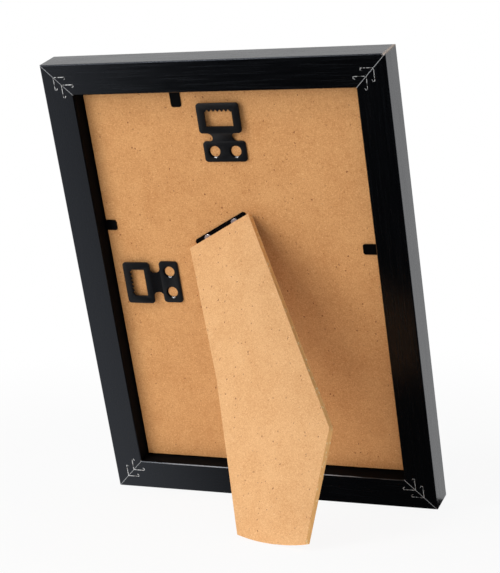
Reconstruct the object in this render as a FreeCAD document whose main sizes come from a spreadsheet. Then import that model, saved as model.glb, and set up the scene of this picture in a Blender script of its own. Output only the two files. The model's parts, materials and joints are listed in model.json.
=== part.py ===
"""An easel back photo frame: mitred wooden rails, a hinged diagonal leg, sawtooth hangers.

Every piece is drawn in the frame's own axes: x to the right as seen from the picture side, y out of
the back, z up along the frame, with the origin in the middle of the bottom back edge.  A placement
then leans the frame back until its bottom edge and the foot of the open leg stand on the same floor.
"""
import FreeCAD, Part
import math
import os
from types import SimpleNamespace

import Sketcher
from FreeCAD import Placement, Rotation, Vector

# Driving sizes, in millimetres, degrees and counts.
SIZES = {
    # picture and the stack in the rabbet
    "picture_width": 130.0,
    "picture_height": 180.0,
    "rabbet_play": 1.0,
    "glass_thickness": 2.0,
    "print_thickness": 0.25,
    "board_thickness": 2.5,
    # rails
    "rail_width": 14.0,
    "rail_depth": 14.0,
    "lip_reach": 5.0,
    "lip_thickness": 2.1,
    "edge_radius": 0.5,
    "inner_bevel": 0.3,
    # V-nails across each mitre
    "nail_wire": 0.3,
    "nail_leg": 5.6,
    "nail_ear": 0.8,
    "nail_ear_angle": 75.0,
    "nail_height": 7.0,
    "outer_nail_inset": 5.7,
    "inner_nail_inset": 9.2,
    # flexible points
    "tab_width": 4.8,
    "tab_thickness": 0.45,
    "tab_reach": 8.2,
    "right_tab_reach": 5.9,
    "tab_corner": 1.0,
    "tab_seat_gap": 0.1,
    "tab_wall_gap": 0.05,
    "shank_depth": 9.0,
    "shank_point": 2.2,
    "top_tab_offset": 20.1,
    "bottom_tab_offset": -12.0,
    "right_tab_rise": 27.5,
    "left_tab_rise": 17.3,
    # sawtooth hangers
    "hanger_sheet": 0.8,
    "hanger_width": 20.0,
    "hanger_length": 27.0,
    "hanger_base": 9.3,
    "hanger_neck": 4.2,
    "hanger_waist": 9.2,
    "hanger_raise": 1.7,
    "hanger_corner": 1.5,
    "hanger_wall_gap": 6.5,
    "window_width": 13.0,
    "window_height": 6.6,
    "window_above_ring": 3.0,
    "tooth_pitch": 2.0,
    "tooth_height": 1.1,
    "tooth_count": 6,
    "collar_spacing": 10.0,
    "collar_bore_radius": 2.4,
    "collar_wall": 0.4,
    "collar_depth": 1.4,
    "collar_flare": 0.55,
    # hinge of the leg
    "hinge_width": 29.4,
    "hinge_sheet": 0.55,
    "hinge_slant": 28.4,
    "hinge_side_offset": 6.0,
    "hinge_rise": 22.4,
    "pin_radius": 0.6,
    "pin_clearance": 0.05,
    "pin_end": 0.3,
    "leaf_seat_gap": 0.1,
    "knuckle_count": 5,
    "knuckle_gap": 0.25,
    "board_leaf_reach": 5.8,
    "leg_leaf_reach": 9.0,
    "leaf_corner": 0.8,
    "rivet_head_radius": 1.9,
    "rivet_head_height": 0.35,
    "rivet_head_bevel": 0.2,
    "rivet_shank_radius": 1.1,
    "rivet_shank_length": 1.5,
    "rivet_spacing": 16.0,
    "board_rivet_reach": 3.5,
    "leg_rivet_reach": 5.2,
    # easel leg
    "opening": 37.5,
    "stop_gap": 0.05,
    "leg_thickness": 2.7,
    "leg_top_width": 35.0,
    "side_foot_out": 14.0,
    "side_foot_down": 106.5,
    "foot_heel_in": 11.0,
    "foot_heel_down": 147.0,
    "foot_toe_out": 9.0,
    "foot_toe_down": 131.3,
    "foot_crown": 1.9,
    "waist_out": 1.6,
    "waist_down": 63.0,
    # one overrun for every cut
    "overrun": 1.0,
}


class Size(float):
    """A number that remembers the formula of sheet cells that it comes from."""

    def __new__(cls, value, formula):
        number = super().__new__(cls, value)
        number.formula = formula
        return number

    def joined(self, sign, other, value, other_first=False):
        pair = [self.formula, formula_of(other)]
        if other_first:
            pair.reverse()
        return Size(value, "(%s %s %s)" % (pair[0], sign, pair[1]))

    def __add__(self, other):
        return self.joined("+", other, float(self) + other)

    def __radd__(self, other):
        return self.joined("+", other, other + float(self), True)

    def __sub__(self, other):
        return self.joined("-", other, float(self) - other)

    def __rsub__(self, other):
        return self.joined("-", other, other - float(self), True)

    def __mul__(self, other):
        return self.joined("*", other, float(self) * other)

    def __rmul__(self, other):
        return self.joined("*", other, other * float(self), True)

    def __truediv__(self, other):
        return self.joined("/", other, float(self) / other)

    def __neg__(self):
        return Size(-float(self), "(0 - %s)" % self.formula)


def formula_of(number):
    return number.formula if isinstance(number, Size) else "%.9f" % number


doc = FreeCAD.newDocument("easel_back_photo_frame")
sheet = doc.addObject("Spreadsheet::Sheet", "sizes")
size = SimpleNamespace()


def enter(name, value):
    """Write one named value into the sheet and keep it as a Size."""
    setattr(size, name, Size(value, "sizes." + name))
    row = len(vars(size))
    sheet.set("A%d" % row, name)
    sheet.set("B%d" % row, repr(float(value)))
    sheet.setAlias("B%d" % row, name)


for name, value in SIZES.items():
    enter(name, value)

# Sizes of the whole, worked out from the picture outwards.
opening_width = size.picture_width + size.rabbet_play * 2
opening_height = size.picture_height + size.rabbet_play * 2
outer_width = opening_width + size.rail_width * 2
outer_height = opening_height + size.rail_width * 2
glass_back = size.rail_depth - size.lip_thickness - size.glass_thickness
print_back = glass_back - size.print_thickness
recess = print_back - size.board_thickness

# The hinge: both leaves lie this far from the pin, and the leg's top edge stands above the pin just so
# far that it lands on the rivet heads of the board leaf at the full opening.
knuckle_radius = size.pin_radius + size.pin_clearance + size.hinge_sheet
leaf_seat = knuckle_radius + size.leaf_seat_gap
turn = math.radians(size.opening)
stop_height = size.hinge_sheet + size.rivet_head_height + size.stop_gap
enter("leg_rise", (leaf_seat * (1 + math.cos(turn)) - stop_height) / math.sin(turn))
hinge_frame = Placement(
    Vector(size.hinge_side_offset, -recess + leaf_seat, outer_height / 2 + size.hinge_rise),
    Rotation(Vector(0, 1, 0), size.hinge_slant),
)
leg_frame = hinge_frame.multiply(Placement(Vector(), Rotation(Vector(1, 0, 0), size.opening)))

# Outline of the leg, from its top edge down: x across, z up, the pin at the origin.
leg_half = size.leg_top_width / 2
heel = (-leg_half + size.foot_heel_in, size.leg_rise - size.foot_heel_down)
toe = (leg_half + size.foot_toe_out, size.leg_rise - size.foot_toe_down)
leg_corners = [
    (leg_half, size.leg_rise),
    (-leg_half, size.leg_rise),
    (-leg_half - size.side_foot_out, size.leg_rise - size.side_foot_down),
    heel,
    toe,
    (leg_half + size.waist_out, size.leg_rise - size.waist_down),
]


def arc_radius(start, end, crown):
    """Radius of the arc that rises by crown over the chord from start to end."""
    across, along = end[0] - start[0], end[1] - start[1]
    return (across * across + along * along) / (crown * 8) + crown / 2


def arc_centre(start, end, radius):
    """Centre of the arc that bulges to the right of the way from start to end."""
    middle = (Vector(*start, 0) + Vector(*end, 0)) / 2
    chord = Vector(*end, 0) - Vector(*start, 0)
    half = chord.Length / 2
    left = Vector(-chord.y, chord.x, 0).normalize()
    return middle + left * math.sqrt(max(0.0, radius * radius - half * half))


foot_radius = arc_radius(heel, toe, size.foot_crown)


def leg_outline_points(steps=240):
    """Points along the leg's corners and its curved foot, on both faces, in the frame's axes."""
    centre = arc_centre(heel, toe, foot_radius)
    first = math.atan2(heel[1] - centre.y, heel[0] - centre.x)
    last = math.atan2(toe[1] - centre.y, toe[0] - centre.x)
    flat = list(leg_corners)
    for step in range(steps + 1):
        angle = first + (last - first) * step / steps
        flat.append((centre.x + foot_radius * math.cos(angle), centre.y + foot_radius * math.sin(angle)))
    depths = (leaf_seat, leaf_seat + size.leg_thickness)
    return [leg_frame.multVec(Vector(x, depth, z)) for x, z in flat for depth in depths]


def lean_of(points, radius):
    """Lean in radians at which the rounded bottom edge and the lowest point share one floor."""
    leans = []
    for point in points:
        out, up = point.y + radius, point.z - radius
        leans.append(math.atan2(up, out) + math.asin(radius / math.hypot(out, up)))
    return min(leans)


leg_points = leg_outline_points()
lean = lean_of(leg_points, size.edge_radius)


def leaned(out, up):
    """Level position, out of the back, of a point of the leaned frame."""
    return out * math.cos(lean) + up * math.sin(lean)


# The origin lies on the floor, under the middle of the object's box.
front_reach = leaned(-size.rail_depth + size.edge_radius, size.edge_radius) - size.edge_radius
back_reach = max(leaned(point.y, point.z) for point in leg_points)
floor_drop = size.edge_radius * (math.cos(lean) + math.sin(lean) - 1)
stand = Placement(
    Vector(0, -(front_reach + back_reach) / 2, -floor_drop),
    Rotation(Vector(1, 0, 0), -math.degrees(lean)),
)
doc.recompute()


def bind(thing, **values):
    """Tie properties of a document object to their formulas."""
    for name, value in values.items():
        thing.setExpression(name, formula_of(value))


def place(thing, local=None):
    """Put a piece, drawn in the frame's axes, into the leaned frame."""
    thing.Placement = stand.multiply(local) if local else stand
    return thing


def new_body(name):
    body = doc.addObject("PartDesign::Body", name)
    body.Label = name
    return body


def new_sketch(body, name, role):
    planes = [feature for feature in body.Origin.OriginFeatures if feature.Role == role]
    sketch = body.newObject("Sketcher::SketchObject", name)
    sketch.AttachmentSupport = [(planes[0], "")]
    sketch.MapMode = "FlatFace"
    return sketch


def near(first, second, tolerance=1e-4):
    return abs(first - second) < tolerance


def hold(sketch, kind, first, second, value):
    """Add one driving constraint and tie it to its formula."""
    index = sketch.addConstraint(Sketcher.Constraint(kind, *first, *second, float(value)))
    sketch.setExpression("Constraints[%d]" % index, formula_of(value))


def hold_point(sketch, geometry, end, point):
    for kind, value in zip(("DistanceX", "DistanceY"), point):
        hold(sketch, kind, (-1, 1), (geometry, end), value)


def draw(sketch, corners, arcs=None, closed=True):
    """Draw a run of lines; arcs gives the radius of each edge that bulges to the right instead.

    A half circle over an upright or level chord has None in place of a radius.
    """
    arcs = arcs or {}
    edges = []
    count = len(corners) if closed else len(corners) - 1
    for index in range(count):
        start, end = corners[index], corners[(index + 1) % len(corners)]
        if index in arcs:
            edges.append(draw_arc(sketch, start, end, arcs[index]))
        else:
            line = Part.LineSegment(Vector(*start, 0), Vector(*end, 0))
            edges.append((sketch.addGeometry(line), 1, 2))
    for index, (geometry, start, end) in enumerate(edges):
        hold_point(sketch, geometry, start, corners[index])
        if closed or index + 1 < count:
            following = edges[(index + 1) % count]
            sketch.addConstraint(Sketcher.Constraint("Coincident", geometry, end, *following[:2]))
        else:
            hold_point(sketch, geometry, end, corners[-1])


def draw_arc(sketch, start, end, radius):
    """Draw the arc that bulges to the right of the way from start to end."""
    half_chord = (Vector(*end, 0) - Vector(*start, 0)).Length / 2
    centre = arc_centre(start, end, radius or half_chord)
    first = math.atan2(start[1] - centre.y, start[0] - centre.x)
    last = math.atan2(end[1] - centre.y, end[0] - centre.x)
    arc = Part.ArcOfCircle(Part.Circle(centre, Vector(0, 0, 1), radius or half_chord), first, last)
    geometry = sketch.addGeometry(arc)
    if radius:
        hold(sketch, "Radius", (geometry,), (), radius)
    elif near(start[1], end[1]):
        hold(sketch, "DistanceY", (-1, 1), (geometry, 3), start[1])
    else:
        hold(sketch, "DistanceX", (-1, 1), (geometry, 3), start[0])
    return geometry, 1, 2


def draw_circle(sketch, centre, radius):
    circle = Part.Circle(Vector(*centre, 0), Vector(0, 0, 1), float(radius))
    geometry = sketch.addGeometry(circle)
    hold_point(sketch, geometry, 3, centre)
    hold(sketch, "Radius", (geometry,), (), radius)


def pad(body, sketch, length, side="One side", back=False):
    """Thicken a sketch; back sends a sketch of the x-z plane out of the back, towards +y."""
    feature = body.newObject("PartDesign::Pad", sketch.Name + "_pad")
    feature.Profile = sketch
    feature.SideType = side
    feature.Reversed = back
    bind(feature, Length=length)
    sketch.Visibility = False
    return feature


def pocket(body, sketch):
    """Cut a sketch right through, to both sides."""
    feature = body.newObject("PartDesign::Pocket", sketch.Name + "_pocket")
    feature.Profile = sketch
    feature.SideType = "Symmetric"
    feature.Type = "ThroughAll"
    return feature


def finish_edges(body, kind, chosen):
    """Add a fillet or a chamfer to the edges of the body's tip that chosen accepts."""
    doc.recompute()
    base = body.Tip
    edges = ["Edge%d" % (index + 1) for index, edge in enumerate(base.Shape.Edges) if chosen(edge)]
    feature = body.newObject("PartDesign::" + kind, body.Name + kind)
    feature.Base = (base, edges)
    return feature


def fillet(body, radius, chosen):
    bind(finish_edges(body, "Fillet", chosen), Radius=radius)


def chamfer(body, bevel, chosen):
    bind(finish_edges(body, "Chamfer", chosen), Size=bevel)


def fuse(name, pieces):
    joined = doc.addObject("Part::MultiFuse", name)
    joined.Shapes = pieces
    return joined


def cut(name, base, tool):
    result = doc.addObject("Part::Cut", name)
    result.Label = name
    result.Base = base
    result.Tool = tool
    return result


def group(name, pieces):
    gathered = doc.addObject("Part::Compound", name)
    gathered.Label = name
    gathered.Links = pieces
    return gathered


nodes = {}


def keep(name, thing):
    """Enter a finished piece under its own name."""
    thing.Label = name
    nodes[name] = thing
    return thing


def around_y(degrees, *position):
    return Placement(Vector(*position), Rotation(Vector(0, 1, 0), degrees))


# Fasteners that are driven into the wood


def v_nail(name, corner_frame, inset):
    """A V of steel band driven across the mitre: a leg along each rail, with an ear folded inwards."""
    leg = [(size.nail_leg, 0.0)]
    for fold in (1, 2):
        along, across = leg[-1]
        turned = math.radians(size.nail_ear_angle * fold)
        leg.append((along + size.nail_ear * math.cos(turned), across + size.nail_ear * math.sin(turned)))
    line = doc.addObject("Sketcher::SketchObject", name + "_line")
    first_leg = [(-along, -across) for along, across in reversed(leg)]
    second_leg = [(-across, -along) for along, across in leg]
    draw(line, first_leg + [(0.0, 0.0)] + second_leg, closed=False)
    band = doc.addObject("Part::Offset2D", name + "_band")
    band.Source = line
    band.Mode = "Pipe"
    band.Join = "Intersection"
    band.Fill = True
    bind(band, Value=size.nail_wire / 2)
    nail = doc.addObject("Part::Extrusion", name)
    nail.Base = band
    nail.DirMode = "Normal"
    nail.Solid = True
    bind(nail, LengthFwd=size.nail_height)
    upright = Placement(Vector(-inset, 0, -inset), Rotation(Vector(1, 0, 0), 90))
    return place(nail, corner_frame.multiply(upright))


half_width = outer_width / 2
corner_frames = {
    "top_right": around_y(0, half_width, 0, outer_height),
    "bottom_right": around_y(90, half_width, 0, 0),
    "bottom_left": around_y(180, -half_width, 0, 0),
    "top_left": around_y(270, -half_width, 0, outer_height),
}
for corner, corner_frame in corner_frames.items():
    insets = {"outer": size.outer_nail_inset, "inner": size.inner_nail_inset}
    nails = [v_nail("%s_nail_%s" % (which, corner), corner_frame, inset) for which, inset in insets.items()]
    keep("v_nails_" + corner, group("v_nails_" + corner, nails))

# Flexible points: a shank in the rail and a blade over the board that bends up at the wall

bend_inset = size.tab_thickness / 2 + size.tab_wall_gap
tab_level = -recess + size.tab_seat_gap + size.tab_thickness / 2
side_wall = half_width - size.rail_width - bend_inset
tab_frames = {
    "top": around_y(180, size.top_tab_offset, tab_level, outer_height - size.rail_width - bend_inset),
    "bottom": around_y(0, size.bottom_tab_offset, tab_level, size.rail_width + bend_inset),
    "right": around_y(-90, side_wall, tab_level, outer_height / 2 + size.right_tab_rise),
    "left": around_y(90, -side_wall, tab_level, outer_height / 2 + size.left_tab_rise),
}

tab_reaches = dict.fromkeys(tab_frames, size.tab_reach)
tab_reaches["right"] = size.right_tab_reach


def tab_shank(side):
    """The pointed half of a flexible point, flush with the rabbet wall and buried in the rail."""
    body = new_body("tab_shank_" + side)
    half = size.tab_width / 2
    mouth = -bend_inset
    end = mouth - size.shank_depth
    shoulder = end + size.shank_point
    tip = half - size.shank_point
    corners = [(half, mouth), (-half, mouth), (-half, shoulder), (-tip, end), (tip, end), (half, shoulder)]
    sketch = new_sketch(body, "shank_outline_" + side, "XZ_Plane")
    draw(sketch, corners)
    pad(body, sketch, size.tab_thickness, "Symmetric")
    return place(body, tab_frames[side])


def tab_blade(side):
    """The half that lies over the board; its round root turns beside the wall when it is bent up."""
    body = new_body("tab_blade_" + side)
    half = size.tab_thickness / 2
    reach = tab_reaches[side]
    corners = [(half, 0.0), (half, reach), (-half, reach), (-half, 0.0)]
    sketch = new_sketch(body, "blade_side_" + side, "YZ_Plane")
    draw(sketch, corners, {3: None})
    pad(body, sketch, size.tab_width, "Symmetric")
    tip = float(reach)
    fillet(body, size.tab_corner, lambda edge: is_along_y(edge) and near(edge.CenterOfMass.z, tip))
    return place(body, tab_frames[side])


def is_along_y(edge):
    """True for a straight edge that runs through a sheet's thickness."""
    if edge.Curve.TypeId != "Part::GeomLine":
        return False
    return near(abs(edge.Curve.Direction.y), 1.0)


for side in tab_frames:
    keep("tab_shank_" + side, tab_shank(side))
    keep("tab_blade_" + side, tab_blade(side))

# Rails: one moulding, mitred to length, with a slot for every nail and shank


def rail(name, length, frame, fasteners):
    body = new_body(name + "_moulding")
    edge = size.edge_radius
    wall = size.rail_width
    bevel = size.inner_bevel
    shelf = -(size.rail_depth - size.lip_thickness)
    front = -size.rail_depth
    sight = wall + size.lip_reach
    corners = [
        (-edge, 0.0),
        (0.0, edge),
        (0.0, wall - bevel),
        (-bevel, wall),
        (shelf, wall),
        (shelf, sight),
        (front + edge, sight),
        (front, sight - edge),
        (front, edge),
        (front + edge, 0.0),
    ]
    profile = new_sketch(body, name + "_profile", "YZ_Plane")
    draw(profile, corners, {0: edge, 6: edge, 8: edge})
    pad(body, profile, length, "Symmetric")
    mitres = new_sketch(body, name + "_mitres", "XZ_Plane")
    far = length / 2 + size.overrun
    top = sight + size.overrun
    draw(mitres, [(far, -size.overrun), (far, top), (far - top - size.overrun, top)])
    draw(mitres, [(-far, -size.overrun), (-far + top + size.overrun, top), (-far, top)])
    pocket(body, mitres)
    place(body, frame)
    return keep(name, cut(name, body, group(name + "_slots", fasteners)))


def nails_at(*corners):
    return [nodes["v_nails_" + corner] for corner in corners]


rail_frames = {
    "top": (outer_width, around_y(180, 0, 0, outer_height), ("top_left", "top_right")),
    "bottom": (outer_width, around_y(0, 0, 0, 0), ("bottom_left", "bottom_right")),
    "right": (outer_height, around_y(-90, half_width, 0, outer_height / 2), ("top_right", "bottom_right")),
    "left": (outer_height, around_y(90, -half_width, 0, outer_height / 2), ("top_left", "bottom_left")),
}
for side, (length, frame, corners) in rail_frames.items():
    rail("rail_" + side, length, frame, nails_at(*corners) + [nodes["tab_shank_" + side]])

# Glass, print and board, one picture size each


def sheet_body(name, back, thickness):
    """A plain sheet of the picture's size whose back face lies at -back."""
    body = new_body(name)
    half = size.picture_width / 2
    low = size.rail_width + size.rabbet_play
    high = low + size.picture_height
    sketch = new_sketch(body, name + "_outline", "XZ_Plane")
    draw(sketch, [(half, low), (half, high), (-half, high), (-half, low)])
    pad(body, sketch, thickness)
    return place(body, Placement(Vector(0, -back, 0), Rotation()))


keep("glazing", sheet_body("glazing", glass_back, size.glass_thickness))
keep("print_sheet", sheet_body("print_sheet", print_back, size.print_thickness))

# Sawtooth hangers: one pressed sheet, clinched into the board by two collars


def hanger(name, frame):
    """Drawn with its teeth up and the board's face at y = 0."""
    body = new_body(name)
    half = size.hanger_width / 2
    sheet_out = size.hanger_sheet
    raised = size.hanger_raise
    neck = size.hanger_base
    ring = neck + size.hanger_neck
    end = size.hanger_length
    side = new_sketch(body, name + "_side", "YZ_Plane")
    draw(side, [
        (0.0, 0.0),
        (sheet_out, 0.0),
        (sheet_out, neck),
        (raised + sheet_out, ring),
        (raised + sheet_out, end),
        (raised, end),
        (raised, ring),
        (0.0, neck),
    ])
    pad(body, side, size.hanger_width, "Symmetric")

    waist = new_sketch(body, name + "_waist", "XZ_Plane")
    bite = size.hanger_neck / 2
    inner = size.hanger_waist / 2 + bite
    outer = half + size.overrun
    draw(waist, [(inner, neck), (outer, neck), (outer, ring), (inner, ring)], {3: None})
    draw(waist, [(-inner, ring), (-outer, ring), (-outer, neck), (-inner, neck)], {3: None})
    pocket(body, waist)

    limit = float(half)
    fillet(body, size.hanger_corner, lambda edge: is_along_y(edge) and near(abs(edge.CenterOfMass.x), limit))

    window = new_sketch(body, name + "_window", "XZ_Plane")
    sill = ring + size.window_above_ring
    draw(window, window_outline(sill, sill + size.window_height))
    pocket(body, window)

    collar_height = size.hanger_base / 2
    spots = [(sign * size.collar_spacing / 2, collar_height) for sign in (1, -1)]
    collars = new_sketch(body, name + "_collars", "XZ_Plane")
    bores = new_sketch(body, name + "_bores", "XZ_Plane")
    for spot in spots:
        draw_circle(collars, spot, size.collar_bore_radius + size.collar_wall)
        draw_circle(bores, spot, size.collar_bore_radius)
    pad(body, collars, size.collar_depth)
    pocket(body, bores)
    rim, front = float(size.collar_bore_radius), float(sheet_out)
    chamfer(body, size.collar_flare, lambda edge: is_ring(edge, rim) and near(edge.CenterOfMass.y, front))
    return place(body, frame)


def window_outline(sill, head):
    """The window, anticlockwise, with sawteeth along its head."""
    half = size.window_width / 2
    corners = [(-half, sill), (half, sill), (half, head)]
    across = size.tooth_pitch * size.tooth_count / 2
    corners.append((across, head))
    for tooth in range(int(size.tooth_count)):
        corners.append((across - size.tooth_pitch * (tooth + 0.5), head + size.tooth_height))
        corners.append((across - size.tooth_pitch * (tooth + 1), head))
    corners.append((-half, head))
    return corners


def is_ring(edge, radius):
    return edge.Curve.TypeId == "Part::GeomCircle" and near(edge.Curve.Radius, radius)


hanger_edge = size.hanger_wall_gap + size.hanger_length
top_hanger_frame = around_y(0, 0, -recess, outer_height - size.rail_width - hanger_edge)
side_hanger_frame = around_y(90, half_width - size.rail_width - hanger_edge, -recess, outer_height / 2)
keep("hanger_top", hanger("hanger_top", top_hanger_frame))
keep("hanger_side", hanger("hanger_side", side_hanger_frame))

# Hinge of the leg, drawn about its pin: the board lies at -y, the closed leg at +y


def rivet(name, frame):
    """A flat-headed rivet along y; y = 0 is the face of the leaf under its head."""
    body = new_body(name)
    foot = -size.hinge_sheet - size.rivet_shank_length
    shank, head, high = size.rivet_shank_radius, size.rivet_head_radius, size.rivet_head_height
    bevel = size.rivet_head_bevel
    sketch = new_sketch(body, name + "_profile", "XY_Plane")
    draw(sketch, [
        (0.0, foot),
        (shank, foot),
        (shank, 0.0),
        (head, 0.0),
        (head, high - bevel),
        (head - bevel, high),
        (0.0, high),
    ])
    turned = body.newObject("PartDesign::Revolution", name + "_turned")
    turned.Profile = sketch
    turned.ReferenceAxis = (sketch, ["V_Axis"])
    turned.Angle = 360
    return place(body, frame)


def rivet_pair(name, frame, upright, height):
    """Two rivets side by side; upright is 1 on the board's leaf and -1 on the leg's."""
    face = (size.hinge_sheet - leaf_seat) * upright
    flip = Rotation() if upright > 0 else Rotation(Vector(1, 0, 0), 180)
    pair = []
    for side, sign in (("right", 1), ("left", -1)):
        spot = Placement(Vector(sign * size.rivet_spacing / 2, face, height), flip)
        pair.append(rivet("%s_%s" % (name, side), frame.multiply(spot)))
    return keep(name, group(name, pair))


board_rivets = rivet_pair("hinge_board_rivets", hinge_frame, 1, size.board_rivet_reach)
leg_rivets = rivet_pair("hinge_leg_rivets", leg_frame, -1, -size.leg_rivet_reach)

knuckle_pitch = (size.hinge_width + size.knuckle_gap) / size.knuckle_count
knuckle_length = knuckle_pitch - size.knuckle_gap


def box(name, length, width, height, local, *corner):
    block = doc.addObject("Part::Box", name)
    bind(block, Length=length, Width=width, Height=height)
    return place(block, local.multiply(Placement(Vector(*corner), Rotation())))


def barrel(name, radius, length, local, start):
    """A cylinder along the pin's axis from start."""
    tube = doc.addObject("Part::Cylinder", name)
    bind(tube, Radius=radius, Height=length)
    return place(tube, local.multiply(Placement(Vector(start, 0, 0), Rotation(Vector(0, 1, 0), 90))))


def hinge_leaf(name, frame, upright, reach, first_knuckle, rivets):
    """One leaf: a flat plate, its own knuckles, and room for the knuckles of the other leaf."""
    half = size.hinge_width / 2
    plate = new_body(name + "_plate")
    bevel = size.leaf_corner
    far = reach * upright
    near_far = (reach - bevel) * upright
    corners = [
        (half, 0.0),
        (half, near_far),
        (half - bevel, far),
        (-half + bevel, far),
        (-half, near_far),
        (-half, 0.0),
    ]
    sketch = new_sketch(plate, name + "_outline", "XZ_Plane")
    draw(sketch, corners)
    pad(plate, sketch, size.hinge_sheet)
    back = (size.hinge_sheet - leaf_seat) if upright > 0 else leaf_seat
    place(plate, frame.multiply(Placement(Vector(0, back, 0), Rotation())))
    knuckles, rooms = [], []
    clear = knuckle_radius + size.knuckle_gap
    room_length = knuckle_length + size.knuckle_gap * 2
    room_front = -clear - size.overrun * upright
    for index in range(int(size.knuckle_count)):
        start = knuckle_pitch * index - half
        if index % 2 == first_knuckle:
            label = "%s_knuckle_%d" % (name, index)
            knuckles.append(barrel(label, knuckle_radius, knuckle_length, frame, start))
        else:
            corner = (start - size.knuckle_gap, room_front, -clear)
            label = "%s_room_%d" % (name, index)
            rooms.append(box(label, room_length, clear * 2, clear * 2, frame, *corner))
    bore_length = size.hinge_width + size.overrun * 2
    bore_radius = size.pin_radius + size.pin_clearance
    bore = barrel(name + "_bore", bore_radius, bore_length, frame, -half - size.overrun)
    solid = fuse(name + "_joined", [plate] + knuckles)
    solid = cut(name + "_notched", solid, group(name + "_rooms", rooms))
    solid = cut(name + "_bored", solid, bore)
    return keep(name, cut(name, solid, rivets))


hinge_leaf("hinge_board_leaf", hinge_frame, 1, size.board_leaf_reach, 0, board_rivets)
hinge_leaf("hinge_leg_leaf", leg_frame, -1, size.leg_leaf_reach, 1, leg_rivets)
pin_length = size.hinge_width + size.pin_end * 2
keep("hinge_pin", barrel("hinge_pin", size.pin_radius, pin_length, hinge_frame, -pin_length / 2))

# Board and leg, each with the seats of the hardware that is pressed into it

board_blank = sheet_body("board_blank", recess, size.board_thickness)
pressed_in = group("board_seats", [nodes["hanger_top"], nodes["hanger_side"], board_rivets])
keep("backing_board", cut("backing_board", board_blank, pressed_in))

leg_blank = new_body("leg_blank")
leg_sketch = new_sketch(leg_blank, "leg_outline", "XZ_Plane")
draw(leg_sketch, leg_corners, {leg_corners.index(heel): foot_radius})
pad(leg_blank, leg_sketch, size.leg_thickness, back=True)
place(leg_blank, leg_frame.multiply(Placement(Vector(0, leaf_seat, 0), Rotation())))
keep("easel_leg", cut("easel_leg", leg_blank, leg_rivets))

doc.recompute()
faults = ["%s: %s" % (thing.Name, thing.State) for thing in doc.Objects
          if "Invalid" in thing.State or "Error" in thing.State]
faults += [name for name, thing in nodes.items() if thing.Shape.isNull() or not thing.Shape.isValid()]
if faults:
    raise RuntimeError("these did not build: " + ", ".join(faults))

os.makedirs("parts", exist_ok=True)
for name, thing in nodes.items():
    thing.Shape.exportStep("parts/%s.step" % name)
    print("%-22s %d solids %10.2f mm3" % (name, len(thing.Shape.Solids), thing.Shape.Volume))
print("lean %.3f degrees, leg rise %.3f mm" % (math.degrees(lean), size.leg_rise))
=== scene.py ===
# %% [markdown]
# # A photo frame, seen from behind
#
# This is a wooden frame for a 13 by 18 cm picture, photographed from the back while it stands on its
# fibreboard leg. The parts with a real size came from a CAD model, and this lesson dresses them: it sets
# the camera and the light, softens what the real object has soft, and gives each surface its finish.
# The CAD parts arrive in place, in metres, with up along Z and the picture facing -Y. They stay where
# they are, so every measure below is read from them.

# %% Load the parts
import json
import math

import bpy
from mathutils import Matrix, Vector

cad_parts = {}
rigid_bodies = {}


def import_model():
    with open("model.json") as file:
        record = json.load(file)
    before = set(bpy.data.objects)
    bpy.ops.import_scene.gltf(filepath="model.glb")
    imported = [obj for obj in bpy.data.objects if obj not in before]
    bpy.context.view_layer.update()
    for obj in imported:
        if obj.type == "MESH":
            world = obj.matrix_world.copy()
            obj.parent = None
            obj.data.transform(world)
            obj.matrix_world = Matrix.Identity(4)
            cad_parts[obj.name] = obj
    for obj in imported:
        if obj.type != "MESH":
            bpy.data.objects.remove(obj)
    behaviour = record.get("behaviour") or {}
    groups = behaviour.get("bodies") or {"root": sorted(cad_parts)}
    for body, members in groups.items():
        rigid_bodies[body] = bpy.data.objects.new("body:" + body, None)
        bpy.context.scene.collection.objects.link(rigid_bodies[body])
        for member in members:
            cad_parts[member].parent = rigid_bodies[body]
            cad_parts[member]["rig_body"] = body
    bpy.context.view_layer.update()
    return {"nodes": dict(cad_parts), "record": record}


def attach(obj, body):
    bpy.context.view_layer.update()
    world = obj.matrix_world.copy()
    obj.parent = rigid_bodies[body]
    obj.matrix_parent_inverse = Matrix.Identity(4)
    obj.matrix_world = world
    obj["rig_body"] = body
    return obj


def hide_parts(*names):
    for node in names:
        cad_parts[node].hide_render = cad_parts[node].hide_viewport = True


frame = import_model()
nodes = frame["nodes"]
print(len(nodes), "parts:", ", ".join(sorted(nodes)))

# %% [markdown]
# ## The frame's own directions
#
# The frame leans back, so world X, Y and Z don't run along its rails. The record of the part holds one
# point on the flat back of the rails, and the direction that this face looks in. From them come the
# frame's own axes: across, out of the back, and up along the rails. Patterns such as the mitre seams are
# much easier to describe in these axes, measured in millimetres from the middle of the bottom edge.

# %% The back face and the up direction
MILLIMETRES = 1000.0
mounts = {mount["name"]: mount for mount in frame["record"]["mounts"]}
back_point = Vector(mounts["back_face"]["pos_m"])
out_of_back = Vector(mounts["back_face"]["axis"]).normalized()
across = Vector((1.0, 0.0, 0.0))
up_the_rails = across.cross(out_of_back)


def along(name, direction):
    """The lowest and highest place of a part's corners along a direction."""
    places = [direction.dot(vertex.co) for vertex in nodes[name].data.vertices]
    return min(places), max(places)


back_level = out_of_back.dot(back_point)
bottom_level = along("rail_bottom", up_the_rails)[0]
half_width = along("rail_right", across)[1]
height = along("rail_top", up_the_rails)[1] - bottom_level
lean = math.atan2(up_the_rails.y, up_the_rails.z)
print("lean %.2f degrees" % math.degrees(lean))
print("outside %.0f by %.0f mm" % (2.0 * MILLIMETRES * half_width, MILLIMETRES * height))

# %% [markdown]
# ## The camera
#
# The photograph was taken with a long lens from behind, right of the leg and a little above the middle.
# A camera is easiest to place by three facts: where it stands, which point it looks at, and how far it
# is turned about its own line of sight. The lens length follows from the focal length in pixels, because
# 36 mm of sensor cover the picture's longer side.

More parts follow.
